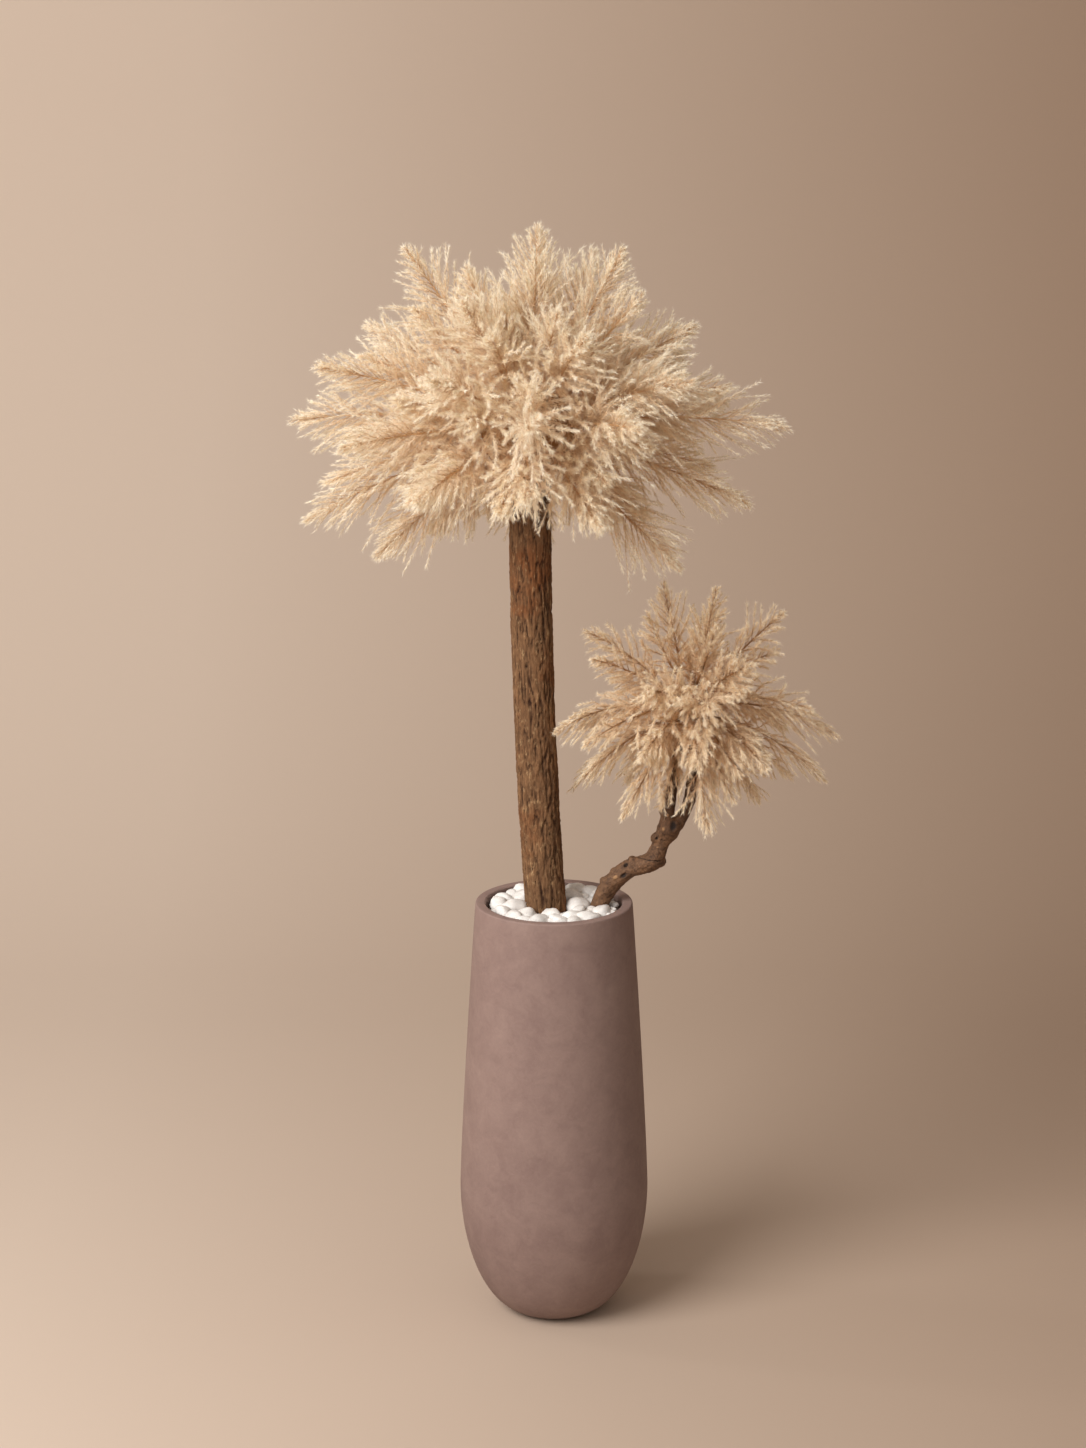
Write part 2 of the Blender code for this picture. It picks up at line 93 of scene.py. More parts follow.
class Finish:
    def __init__(self, name, roughness, **constants):
        self.material = bpy.data.materials.new(name)
        self.material.use_nodes = True
        self.tree = self.material.node_tree
        self.shader = self.tree.nodes["Principled BSDF"]
        self.shader.inputs["Roughness"].default_value = roughness
        for socket, value in constants.items():
            self.shader.inputs[socket.replace("_", " ")].default_value = value

    def set(self, target, value):
        if isinstance(value, Wire):
            self.tree.links.new(value.socket, target)
        elif isinstance(value, tuple) and len(value) == 3 and target.type == "RGBA":
            target.default_value = (*value, 1.0)
        else:
            target.default_value = value

    def node(self, kind, inputs=None, output=0, **settings):
        made = self.tree.nodes.new(kind)
        for name, value in settings.items():
            setattr(made, name, value)
        for key, value in (inputs or {}).items():
            self.set(made.inputs[key], value)
        return Wire(self, made.outputs[output])

    def place(self):
        return self.node("ShaderNodeTexCoord", output="Object")

    def stretched(self, scale):
        return self.node("ShaderNodeMapping", {"Vector": self.place(), "Scale": scale})

    def noise(self, scale, detail=4.0, roughness=0.55, along=None, distortion=0.0):
        return self.node("ShaderNodeTexNoise", {
            "Vector": along or self.place(), "Scale": scale, "Detail": detail,
            "Roughness": roughness, "Distortion": distortion})

    def blend(self, share, first, second):
        return self.node("ShaderNodeMix", {0: share, 6: first, 7: second}, output=2,
                         data_type="RGBA")

    def between(self, value, low, high):
        return self.node("ShaderNodeMapRange", {0: value, 1: low, 2: high}, clamp=True)

    def bump(self, height, distance, strength=1.0):
        bump = self.node("ShaderNodeBump", {"Height": height, "Distance": distance,
                                            "Strength": strength})
        self.set(self.shader.inputs["Normal"], bump)

    def paint(self, colour):
        self.set(self.shader.inputs["Base Color"], colour)

    def cover(self, share, other):
        """Mixes another shader into the Principled one."""
        mixed = self.node("ShaderNodeMixShader",
                          {0: share, 1: Wire(self, self.shader.outputs[0]), 2: other})
        self.set(self.tree.nodes["Material Output"].inputs["Surface"], mixed)


def shade_of(red, green, blue):
    """A colour as seen on a screen, as the linear colour that a shader takes."""
    return tuple((c / 255 / 12.92 if c <= 10 else ((c / 255 + 0.055) / 1.055) ** 2.4)
                 for c in (red, green, blue))


def finish_mesh(piece, material):
    piece.data.materials.clear()
    piece.data.materials.append(material)


# Stage: a warm beige paper sweep, which is floor in front and wall behind, and soft lights. The
# paper is painted darker towards the right, as painted shade. From behind the paper is clear, so
# that the tree can be seen from all round.

def make_sweep():
    bpy.ops.object.select_all(action="DESELECT")
    bpy.ops.mesh.primitive_grid_add(x_subdivisions=2, y_subdivisions=60, size=1.0)
    sweep = bpy.context.object
    sweep.name = "paper_sweep"
    near, floor_end, bend, wall_top, width = -6.0, 1.6, 1.8, 6.0, 14.0
    arc = bend * math.pi / 2
    total = floor_end - near + arc + wall_top
    for vert in sweep.data.vertices:
        run = (vert.co.y + 0.5) * total
        across = vert.co.x * width
        if run < floor_end - near:
            vert.co = (across, near + run, 0.0)
        elif run < floor_end - near + arc:
            turn = (run - (floor_end - near)) / bend
            vert.co = (across, floor_end + bend * math.sin(turn), bend * (1 - math.cos(turn)))
        else:
            vert.co = (across, floor_end + bend, bend + run - (floor_end - near) - arc)
    bpy.ops.object.shade_smooth()
    paper = Finish("beige_paper", 0.9, Specular_IOR_Level=0.1)
    # The paper grows darker towards the right, where less light falls: painted shade on floor and
    # wall alike.
    across = paper.node("ShaderNodeSeparateXYZ", {0: paper.place()}, output="X")
    painted_shade_right = paper.between(across, -0.9, 1.5)
    paper.paint(paper.blend(painted_shade_right, shade_of(198, 180, 165), shade_of(168, 143, 124)))
    behind = paper.node("ShaderNodeNewGeometry", output="Backfacing")
    clear = paper.node("ShaderNodeBsdfTransparent")
    paper.cover(behind, clear)
    finish_mesh(sweep, paper.material)


def add_soft_light(name, place, target, size, power, colour):
    light = bpy.data.lights.new(name, "AREA")
    light.shape = "DISK"
    light.size = size
    light.energy = power
    light.color = colour
    lamp = bpy.data.objects.new(name, light)
    bpy.context.scene.collection.objects.link(lamp)
    lamp.location = place
    aim = Vector(target) - Vector(place)
    lamp.rotation_euler = aim.to_track_quat("-Z", "Y").to_euler()


def light_stage():
    add_soft_light("window", place=(-2.3, -2.3, 3.1), target=(-0.5, 0.3, 1.0),
                   size=2.7, power=190, colour=(1.0, 0.99, 0.965))
    add_soft_light("front_fill", place=(-1.7, -4.4, 2.7), target=(0.0, 0.0, 1.3),
                   size=2.4, power=29, colour=(1.0, 0.98, 0.95))
    add_soft_light("wall_wash", place=(-3.3, 0.8, 2.9), target=(-1.9, 3.4, 2.2),
                   size=1.4, power=30, colour=(1.0, 0.99, 0.97))
    world = bpy.data.worlds.new("room")
    world.use_nodes = True
    background = world.node_tree.nodes["Background"]
    background.inputs["Color"].default_value = (1.0, 0.915, 0.815, 1.0)
    background.inputs["Strength"].default_value = 0.42
    bpy.context.scene.world = world
    bpy.context.scene.view_settings.view_transform = "Standard"


make_sweep()
light_stage()


# Pot: one tall vessel cast in fibre clay, tapered to its rim and rounded in to a small flat foot.
# It stands loose on the floor and holds the fill, with the trunk and the branch in it.

pot_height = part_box("pot")[1].z
rim_radius, belly_radius, belly_height = 0.1225, 0.149, 0.21
foot_radius, wall, taper_power = 0.052, 0.016, 1.2
taper_steps, foot_steps, turn_steps = 40, 30, 112


def pot_side(inset):
    """Radius and height down the pot's side, moved in by the inset."""
    line = []
    for k in range(taper_steps + 1):
        t = 1 - k / taper_steps
        line.append((belly_radius - (belly_radius - rim_radius) * t**taper_power,
                     belly_height + (pot_height - belly_height) * t))
    for k in range(1, foot_steps + 1):
        turn = math.radians(90 * k / foot_steps)
        line.append((foot_radius + (belly_radius - foot_radius) * math.cos(turn),
                     belly_height * (1 - math.sin(turn))))
    moved = []
    for (r, z), before, after in zip(line, line[:1] + line, line[1:] + line[-1:]):
        run, drop = after[0] - before[0], before[1] - after[1]
        size = math.hypot(run, drop)
        moved.append((r - inset * drop / size, z - inset * run / size))
    if inset == 0:
        moved[-1] = (foot_radius, 0.0)
    return moved


def make_pot():
    ease, corner_steps = 0.0028, 6
    outside, inside = pot_side(0.0), pot_side(wall)
    rim_out, rim_in = outside[0][0], inside[0][0]
    corner = [math.radians(90 * k / corner_steps) for k in range(corner_steps + 1)]
    lip = [(rim_in + ease - ease * math.cos(a), pot_height - ease + ease * math.sin(a))
           for a in corner]
    lip += [(rim_out - ease + ease * math.sin(a), pot_height - ease + ease * math.cos(a))
            for a in corner]
    profile = [(0.0, inside[-1][1]), *reversed(inside[1:]), *lip, *outside[1:], (0.0, 0.0)]
    mesh = bpy.data.meshes.new("pot_shell")
    edges = [(k, k + 1) for k in range(len(profile) - 1)]
    mesh.from_pydata([(r, 0, z) for r, z in profile], edges, [])
    pot = bpy.data.objects.new("pot_shell", mesh)
    bpy.context.scene.collection.objects.link(pot)
    bpy.ops.object.select_all(action="DESELECT")
    pot.select_set(True)
    bpy.context.view_layer.objects.active = pot
    screw = pot.modifiers.new("turn", "SCREW")
    screw.steps = screw.render_steps = turn_steps
    screw.use_merge_vertices = True
    screw.merge_threshold = 0.0001
    bpy.ops.object.modifier_apply(modifier=screw.name)
    bpy.ops.object.shade_smooth()
    clay = Finish("mauve_clay", 0.72, Specular_IOR_Level=0.3)
    mottle = clay.noise(26, 5.0, 0.6, distortion=0.6)
    brushed = clay.noise(90, 4.0, 0.6, distortion=1.6)
    cloud = clay.noise(5, 3.0)
    grit = clay.noise(700, 2.0, 0.7)
    tone = cloud * 0.35 + mottle * 0.35 + brushed * 0.2 + grit * 0.1
    share = clay.between(tone, 0.38, 0.62)
    clay.paint(clay.blend(share, shade_of(125, 102, 96), shade_of(144, 121, 113)))
    clay.bump(brushed * 0.6 + grit * 0.4, 0.0007, 0.6)
    finish_mesh(pot, clay.material)
    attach(pot, "root")
    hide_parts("pot")


make_pot()


# Potting fill: dark crumbly soil that fills the pot up to the pebbles and grips the trunk and the
# branch. It is the CAD's own solid, since the pebbles hide it.

def finish_fill():
    soil = Finish("dark_soil", 0.95)
    crumbs = soil.noise(160, 6.0, 0.7)
    soil.paint(soil.blend(crumbs, shade_of(38, 27, 20), shade_of(84, 62, 45)))
    soil.bump(crumbs, 0.003)
    finish_mesh(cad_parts["potting_fill"], soil.material)


finish_fill()


# Trunk: a length of natural trunk with its bark on, deeply furrowed, which leans to the left as it
# rises. It stands deep in the fill, and its top is pushed into the crown's foam ball.

trunk_low, trunk_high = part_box("trunk")
trunk_radius, bark_relief, bark_lift = 0.0305, 0.0022, 0.0006
lean_start, lean_length, start_x, lean_shift = 0.69, 0.61, -0.014, 0.022


def trunk_centre(height):
    t = min((height - lean_start) / lean_length, 1.0)
    bend = 2 * t - t * t if t > 0 else 2 * t
    return Vector((start_x - lean_shift * bend, 0.0, height))


def rolled_grid(name, around, along):
    """A grid rolled up into a tube, with its seam welded and its ends closed. Each vertex holds
    its angle and its share of the length until it is put in place."""
    bpy.ops.object.select_all(action="DESELECT")
    bpy.ops.mesh.primitive_grid_add(x_subdivisions=around, y_subdivisions=along, size=1.0)
    tube = bpy.context.object
    tube.name = name
    for vert in tube.data.vertices:
        angle = (vert.co.x + 0.5) * math.tau
        vert.co = (math.cos(angle), math.sin(angle), vert.co.y + 0.5)
    bpy.ops.object.mode_set(mode="EDIT")
    bpy.ops.mesh.select_all(action="SELECT")
    bpy.ops.mesh.remove_doubles(threshold=0.0005)
    bpy.ops.mesh.select_all(action="DESELECT")
    bpy.ops.mesh.select_non_manifold()
    bpy.ops.mesh.fill_holes(sides=0)
    bpy.ops.mesh.select_all(action="SELECT")
    bpy.ops.mesh.normals_make_consistent(inside=False)
    bpy.ops.object.mode_set(mode="OBJECT")
    return tube


def bark_depth(angle, height):
    """Height of the bark above its middle, from -1 to 1: rough plates between forking furrows."""
    wander = noise.noise(Vector((math.cos(angle), math.sin(angle), height * 22))) * 0.20
    round_it = Vector((math.cos(angle + wander), math.sin(angle + wander), 0.0))
    furrows = 1 - abs(noise.noise(round_it * 4.6 + Vector((0, 0, height * 19)))) * 6.5
    cracks = 1 - abs(noise.noise(round_it * 9.5 + Vector((4, 0, height * 52)))) * 5.0
    flakes = noise.noise(round_it * 13.0 + Vector((0, 6, height * 150)))
    scales = noise.noise(round_it * 26.0 + Vector((3, 6, height * 300)))
    swell = noise.noise(round_it * 1.6 + Vector((7, 0, height * 13)))
    return (0.45 + 0.35 * flakes + 0.22 * scales + 0.35 * swell
            - 1.25 * max(0.0, furrows) - 0.55 * max(0.0, cracks))


def make_trunk():
    foot_gap, top_gap = 0.004, 0.001
    trunk = rolled_grid("trunk_bark", around=110, along=380)
    low = trunk_low.z + foot_gap
    length = trunk_high.z - top_gap - low
    depths = []
    for vert in trunk.data.vertices:
        angle = math.atan2(vert.co.y, vert.co.x)
        height = low + vert.co.z * length
        depth = bark_depth(angle, height)
        radius = trunk_radius + bark_lift + bark_relief * max(-1.5, min(depth, 1.0))
        depths.append(depth)
        vert.co = trunk_centre(height) + Vector((math.cos(angle), math.sin(angle), 0)) * radius
    relief = trunk.data.attributes.new("relief", "FLOAT", "POINT")
    relief.data.foreach_set("value", depths)
    bpy.ops.object.shade_smooth()
    bark = Finish("furrowed_bark", 0.85, Specular_IOR_Level=0.25)
    depth = bark.node("ShaderNodeAttribute", output="Fac", attribute_name="relief")
    fibres = bark.noise(1.0, 6.0, 0.75, along=bark.stretched((420.0, 420.0, 150.0)),
                        distortion=0.6)
    strips = bark.noise(1.0, 3.0, 0.6, along=bark.stretched((330.0, 330.0, 34.0)),
                        distortion=0.7)
    patches = bark.noise(24, 5.0, 0.65)
    rust = bark.between(bark.noise(13, 3.0, distortion=0.5), 0.50, 0.66)
    pale = bark.between(bark.noise(1.0, 4.0, 0.7, along=bark.stretched((130.0, 130.0, 60.0))),
                        0.56, 0.70)
    # The furrows, low in the relief, are painted near black: partly the bark's own dark brown,
    # partly painted shade in the recesses.
    ridges_over_furrow_shade = bark.between(depth * 0.42 + fibres * 0.8 + strips * 1.5, 0.62, 1.62)
    ridge = bark.blend(patches, shade_of(112, 78, 52), shade_of(156, 117, 82))
    ridge = bark.blend(rust * 0.6, ridge, shade_of(136, 78, 38))
    ridge = bark.blend(pale * 0.75, ridge, shade_of(204, 168, 124))
    bark.paint(bark.blend(ridges_over_furrow_shade, shade_of(50, 27, 14), ridge))
    bark.bump(fibres * 0.5 + strips * 0.9, 0.0030, 0.9)
    finish_mesh(trunk, bark.material)
    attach(trunk, "root")
    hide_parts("trunk")


make_trunk()


# Branch: a gnarled limb of weathered wood with knots, holes and pale scars. The holes are sunk in
# and painted near black, as painted shade. It stands in the fill beside the trunk, forks under the
# smaller head, and both prongs are pushed into its foam. Each point of a line is a place and the
# limb's radius there.

branch_line = (
    ((0.058, 0.018, 0.577), 0.0100), ((0.062, 0.012, 0.625), 0.0112),
    ((0.070, 0.004, 0.665), 0.0135), ((0.083, 0.000, 0.695), 0.0150),
    ((0.099, -0.002, 0.714), 0.0142), ((0.118, -0.003, 0.729), 0.0140),
    ((0.138, -0.004, 0.736), 0.0146), ((0.154, -0.005, 0.743), 0.0160),
    ((0.161, -0.006, 0.758), 0.0142), ((0.167, -0.007, 0.775), 0.0128),
    ((0.176, -0.008, 0.793), 0.0172), ((0.176, -0.009, 0.812), 0.0112),
    ((0.178, -0.010, 0.840), 0.0102), ((0.183, -0.010, 0.870), 0.0094),
    ((0.194, -0.010, 0.930), 0.0085), ((0.199, -0.010, 0.962), 0.0080),
)
prong_line = (
    ((0.178, -0.008, 0.784), 0.0085), ((0.188, -0.008, 0.797), 0.0100),
    ((0.196, -0.008, 0.812), 0.0098), ((0.205, -0.008, 0.829), 0.0092),
    ((0.210, -0.009, 0.848), 0.0090), ((0.214, -0.010, 0.900), 0.0082),
    ((0.216, -0.010, 0.962), 0.0075),
)


def smooth_point(points, share):
    """The point at this share of a smooth curve through the points."""
    place = max(0.0, min(share, 0.999999)) * (len(points) - 1)
    first = int(place)
    t = place - first
    a, b, c, d = (Vector(points[max(0, min(first + k, len(points) - 1))]) for k in (-1, 0, 1, 2))
    return 0.5 * (2 * b + (c - a) * t + (2 * a - 5 * b + 4 * c - d) * t**2
                  + (3 * b - a - 3 * c + d) * t**3)


def bent_limb(name, line, around, along):
    centres = [p for p, _ in line]
    radii = [(r, 0.0, 0.0) for _, r in line]
    limb = rolled_grid(name, around, along)
    for vert in limb.data.vertices:
        share = vert.co.z
        angle = math.atan2(vert.co.y, vert.co.x)
        ahead = smooth_point(centres, share + 0.01) - smooth_point(centres, share - 0.01)
        ahead.normalize()
        side = (Vector((0, 1, 0)) - ahead * ahead.y).normalized()
        lump = math.sin(2 * angle + 17 * share) + 0.6 * math.sin(3 * angle - 29 * share)
        radius = smooth_point(radii, share).x * (1 + 0.05 * lump)
        vert.co = smooth_point(centres, share) + radius * (
            math.cos(angle) * side + math.sin(angle) * ahead.cross(side))
    return limb


def across_grain(spot):
    """A place on the limb turned so that its first axis runs along the grain, which is steeper
    above the bend."""
    bend_low, bend_high, low_rise, high_rise = 0.74, 0.78, 38, 78
    past_bend = max(0.0, min((spot.z - bend_low) / (bend_high - bend_low), 1.0))
    rise = math.radians(low_rise + (high_rise - low_rise) * past_bend)
    along = spot.x * math.cos(rise) + spot.z * math.sin(rise)
    return Vector((along, spot.z * math.cos(rise) - spot.x * math.sin(rise), spot.y))


def mark_share(spot, marks, front):
    """How deep a spot lies in one of the oval marks. Each mark is on the front or the back."""
    here, deepest = across_grain(spot), 0.0
    for x, z, radius, face in marks:
        if (face == "front") == front:
            there = across_grain(Vector((x, spot.y, z)))
            near = math.hypot((here.x - there.x) / 1.5, here.y - there.y) / radius
            deepest = max(deepest, 1 - near * near)
    return deepest


def make_branch():
    limb = bent_limb("knotted_branch", branch_line, around=40, along=170)
    prong = bent_limb("prong", prong_line, around=32, along=70)
    knots = [((0.1076, -0.0110, 0.7220), 0.0075), ((0.0780, -0.0020, 0.7080), 0.0075),
             ((0.0938, -0.0030, 0.7240), 0.0068), ((0.1214, -0.0040, 0.7425), 0.0075),
             ((0.1585, -0.0100, 0.7800), 0.0095), ((0.1850, -0.0150, 0.8000), 0.0110),
             ((0.1650, -0.0020, 0.7400), 0.0095), ((0.1720, 0.0020, 0.8200), 0.0100),
             ((0.1260, 0.0060, 0.7300), 0.0090), ((0.1950, 0.0000, 0.8040), 0.0080)]
    for place, radius in knots:
        bpy.ops.mesh.primitive_uv_sphere_add(segments=16, ring_count=8, radius=radius,
                                             location=place)
        bpy.context.object.select_set(True)
        limb.select_set(True)
        bpy.context.view_layer.objects.active = limb
        bpy.ops.object.join()
    bpy.ops.object.select_all(action="DESELECT")
    prong.select_set(True)
    limb.select_set(True)
    bpy.context.view_layer.objects.active = limb
    bpy.ops.object.join()
    limb.data.remesh_voxel_size = 0.0013
    bpy.ops.object.voxel_remesh()
    smooth = limb.modifiers.new("ease", "SMOOTH")
    smooth.iterations = 8
    bpy.ops.object.modifier_apply(modifier=smooth.name)
    limb.data.update()
    holes = [(0.1110, 0.7370, 0.0030, "front"), (0.1076, 0.7214, 0.0044, "front"),
             (0.1409, 0.7479, 0.0034, "front"), (0.1525, 0.7463, 0.0034, "front"),
             (0.1833, 0.8029, 0.0060, "front"), (0.1585, 0.7815, 0.0024, "front"),
             (0.1250, 0.7330, 0.0045, "back"), (0.1720, 0.7900, 0.0050, "back"),
             (0.1560, 0.7480, 0.0030, "back")]
    scars = [(0.1689, 0.7977, 0.0022, "front"), (0.1750, 0.8191, 0.0020, "front"),
             (0.1701, 0.8420, 0.0026, "front"), (0.1684, 0.7670, 0.0022, "front"),
             (0.0950, 0.7180, 0.0030, "front"), (0.1990, 0.8300, 0.0020, "front"),
             (0.1400, 0.7370, 0.0030, "back"), (0.1760, 0.8300, 0.0026, "back")]
    hole_depths_and_shade, pale, moved = [], [], []
    for vert in limb.data.vertices:
        spot, front = vert.co.copy(), vert.normal.y < 0
        grain = across_grain(spot)
        ridges = noise.noise(Vector((grain.x * 70, grain.y * 330, grain.z * 330)))
        bumps = noise.noise(spot * 190) + 0.6 * noise.noise(spot * 430)
        creases = noise.noise(Vector((grain.x * 420, grain.y * 60, grain.z * 60)))
        # How deep a vertex lies in a hole: it sinks the surface in, and later paints it near black
        # as painted shade.
        hole_depth_and_shade = mark_share(spot, holes, front)
        hole_depths_and_shade.append(hole_depth_and_shade)
        pale.append(mark_share(spot, scars, front))
        lift = 0.0006 * ridges + 0.0006 * bumps + 0.0004 * creases + 0.0006 * pale[-1]
        moved.append(spot + vert.normal * (lift - 0.0036 * hole_depth_and_shade))
    for vert, place in zip(limb.data.vertices, moved):
        vert.co = place
    for name, values in (("hole_depth_and_shade", hole_depths_and_shade), ("scar", pale)):
        attribute = limb.data.attributes.new(name, "FLOAT", "POINT")
        attribute.data.foreach_set("value", values)
    bpy.ops.object.shade_smooth()
    wood = Finish("driftwood", 0.68, Specular_IOR_Level=0.35)
    hole_depth_and_shade = wood.node("ShaderNodeAttribute", output="Fac", attribute_name="hole_depth_and_shade")
    scar = wood.node("ShaderNodeAttribute", output="Fac", attribute_name="scar")
    patches = wood.noise(42, 5.0, 0.65)
    streaks = wood.noise(210, 5.0, 0.7, distortion=1.2)
    blotches = wood.between(wood.noise(95, 3.0, 0.6, distortion=0.8), 0.50, 0.62)
    dark_top = wood.between(wood.node("ShaderNodeSeparateXYZ", {0: wood.place()}, output="Z"),
                            0.775, 0.845)
    tone = wood.between(patches * 0.5 + streaks * 0.5, 0.34, 0.68)
    brown = wood.blend(tone, shade_of(58, 36, 22), shade_of(142, 104, 74))
    brown = wood.blend(blotches * 0.55, brown, shade_of(60, 38, 24))
    brown = wood.blend(dark_top * 0.6, brown, shade_of(58, 34, 18))
    brown = wood.blend((scar * streaks * 3.0).clamped(), brown, shade_of(160, 122, 86))
    # Holes are painted near black: painted shade inside them.
    wood.paint(wood.blend((hole_depth_and_shade * streaks * 3.4).clamped(), brown, shade_of(34, 19, 11)))
    wood.bump(streaks, 0.0016, 0.8)
    finish_mesh(limb, wood.material)
    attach(limb, "root")
    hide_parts("branch")


make_branch()


# Pebbles: smooth white stones, laid loose on the fill and heaped round the trunk up to the rim,
# where the CAD has them, with small ones in between and a bed of their own grit below.

fill_top, gap, bed_thickness = 0.635, 0.0003, 0.023
pebble_size = (0.036, 0.029, 0.022)
pebble_spacing, pebble_mound = 0.0262, 0.011


def pot_radius_inside(height):
    taper = [(r, z) for r, z in pot_side(wall) if z > belly_height]
    return float(np.interp(height, [z for _, z in reversed(taper)],
                           [r for r, _ in reversed(taper)]))


def pebble_places(rng):
    """The CAD's own rule: seeded spots are tried, and those with room are kept."""
    inside = pot_radius_inside(pot_height)
    trunk = trunk_centre(fill_top).xy
    foot = [Vector(p).xy for p, _ in branch_line if 0.62 < p[2] < 0.70]
    kept = []
    for _ in range(6000):
        spread, turn = math.sqrt(rng.random()), rng.random() * math.tau
        size = rng.uniform(0.8, 1.1)
        room = pebble_size[0] / 2 * size
        spot = Vector((math.cos(turn), math.sin(turn))) * spread * (inside - room * 1.1 - 0.002)
        if (spot - trunk).length < trunk_radius + room * 0.8:
            continue
        if min((spot - p).length for p in foot) < 0.013 + room * 0.7:
            continue
        if all((spot - other).length > pebble_spacing * (size + s) / 2 for other, s in kept):
            kept.append((spot, size))
    return kept


def add_stone(place, half, number, rng):
    """One tumbled stone: a rounded lump with a flat or two, turned and tilted at random."""
    turn = Matrix.Rotation(rng.random() * math.tau, 3, "Z")
    tilt = Matrix.Rotation(rng.uniform(-0.45, 0.45), 3, "X")
    bpy.ops.mesh.primitive_ico_sphere_add(subdivisions=3, radius=1.0)
    stone = bpy.context.object
    for vert in stone.data.vertices:
        way = vert.co.normalized()
        lump = noise.noise(way * 1.1 + Vector((number * 3.1, 0, 0)))
        dimple = noise.noise(way * 2.6 + Vector((0, number * 2.7, 0)))
        pitting = noise.noise(way * 9.0 + Vector((0, 0, number * 1.9)))
        shape = way * (1.0 + 0.26 * lump + 0.07 * dimple + 0.008 * pitting)
        shape = Vector((shape.x * half[0], shape.y * half[1], shape.z * half[2]))
        vert.co = turn @ tilt @ shape + place
    return stone


def filler_places(large, bed_radius):
    """Small stones for the dimples between the large ones, where the CAD has only its bed."""
    rng = random.Random(19)
    trunk, kept = trunk_centre(fill_top).xy, []
    foot = [Vector(p).xy for p, _ in branch_line[1:4]]
    for _ in range(5000):
        spread, turn = math.sqrt(rng.random()), rng.random() * math.tau
        size = rng.uniform(0.42, 0.62)
        room = pebble_size[0] / 2 * size
        spot = Vector((math.cos(turn), math.sin(turn))) * spread * (bed_radius - room * 1.3)
        if (spot - trunk).length <= trunk_radius + room * 1.3:
            continue
        if min((spot - p).length for p in foot) <= 0.011 + room / 2:
            continue
        if any((spot - other).length <= pebble_size[1] * 0.42 * s + room * 0.35
               for other, s in large):
            continue
        if all((spot - other).length > (room + r) * 0.85 for other, r in kept):
            kept.append((spot, room))
    return [(spot, room / pebble_size[0] * 2) for spot, room in kept]


def make_pebbles():
    rng = random.Random(7)
    low = fill_top + gap
    top = low + bed_thickness
    bed_radius = pot_radius_inside(top + pebble_mound) - 2 * gap
    bed_drop = 0.010

    def mound_at(y):
        return pebble_mound * (0.5 + 0.5 * y / bed_radius)

    bpy.ops.object.select_all(action="DESELECT")
    bpy.ops.mesh.primitive_cylinder_add(vertices=96, radius=bed_radius, depth=bed_thickness,
                                        location=(0, 0, low + bed_thickness / 2))
    bed = bpy.context.object
    bed.name = "white_pebbles"
    bpy.ops.object.transform_apply(location=True)
    for vert in bed.data.vertices:
        if vert.co.z > low + bed_thickness / 2:
            vert.co.z += mound_at(vert.co.y) - bed_drop
    stones = [bed]
    large = pebble_places(rng)
    for number, (spot, size) in enumerate(large):
        height = top + 0.003 + mound_at(spot.y) + rng.uniform(0, 0.003)
        half = [s * size * rng.uniform(0.9, 1.08) * 0.53 for s in pebble_size]
        stones.append(add_stone(Vector((spot.x, spot.y, height)), half, number, rng))
    for number, (spot, size) in enumerate(filler_places(large, bed_radius)):
        half = [s * size * 0.54 for s in pebble_size]
        place = Vector((spot.x, spot.y, top + mound_at(spot.y) + 0.001))
        stones.append(add_stone(place, half, 100 + number, rng))
    bpy.ops.object.select_all(action="DESELECT")
    for stone in stones:
        stone.select_set(True)
    bpy.context.view_layer.objects.active = bed
    bpy.ops.object.join()
    bpy.ops.object.shade_smooth()
    marble = Finish("white_stone", 0.55, Specular_IOR_Level=0.4)
    cloud = marble.noise(38, 4.0, 0.6)
    speck = marble.noise(420, 3.0, 0.7)
    veins = marble.between(marble.noise(60, 5.0, 0.7, distortion=1.5), 0.56, 0.70)
    tone = marble.between(cloud * 0.65 + speck * 0.35, 0.32, 0.62)
    white = marble.blend(tone, shade_of(202, 197, 193), shade_of(238, 234, 231))
    marble.paint(marble.blend(veins * 0.35, white, shade_of(140, 130, 122)))
    marble.bump(speck * 0.7 + cloud * 0.3, 0.0010, 0.6)
    finish_mesh(bed, marble.material)
    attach(bed, "root")
    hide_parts("pebbles")


make_pebbles()


# Foam balls: the dry foam that the plumes' stems are pushed into. One sits on the trunk and one on
# the branch's two prongs. Both are the CAD's own solids, since the plumes hide all but a spot that
# shows from above in the smaller head. The foam is painted the brown of shaded fluff, as painted
# shade among the plumes.

def finish_foam():
    foam = Finish("dry_foam_in_painted_shade", 0.95)
    cells = foam.noise(300, 3.0)
    # Straw brown of fluff in shade: painted shade where the foam shows between the plumes.
    foam.paint(foam.blend(cells, shade_of(140, 100, 62), shade_of(176, 134, 90)))
    foam.bump(cells, 0.001)
    for name in ("crown_foam", "head_foam"):
        finish_mesh(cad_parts[name], foam.material)


finish_foam()


# Plumes: dried pampas grass. Each stem is pushed into the foam, where the CAD's own rule has it, and
# holds a big plume and a smaller one. A plume is a stalk with branchlets all round it, and each
# branchlet carries silky hairs, which are slim single triangles.

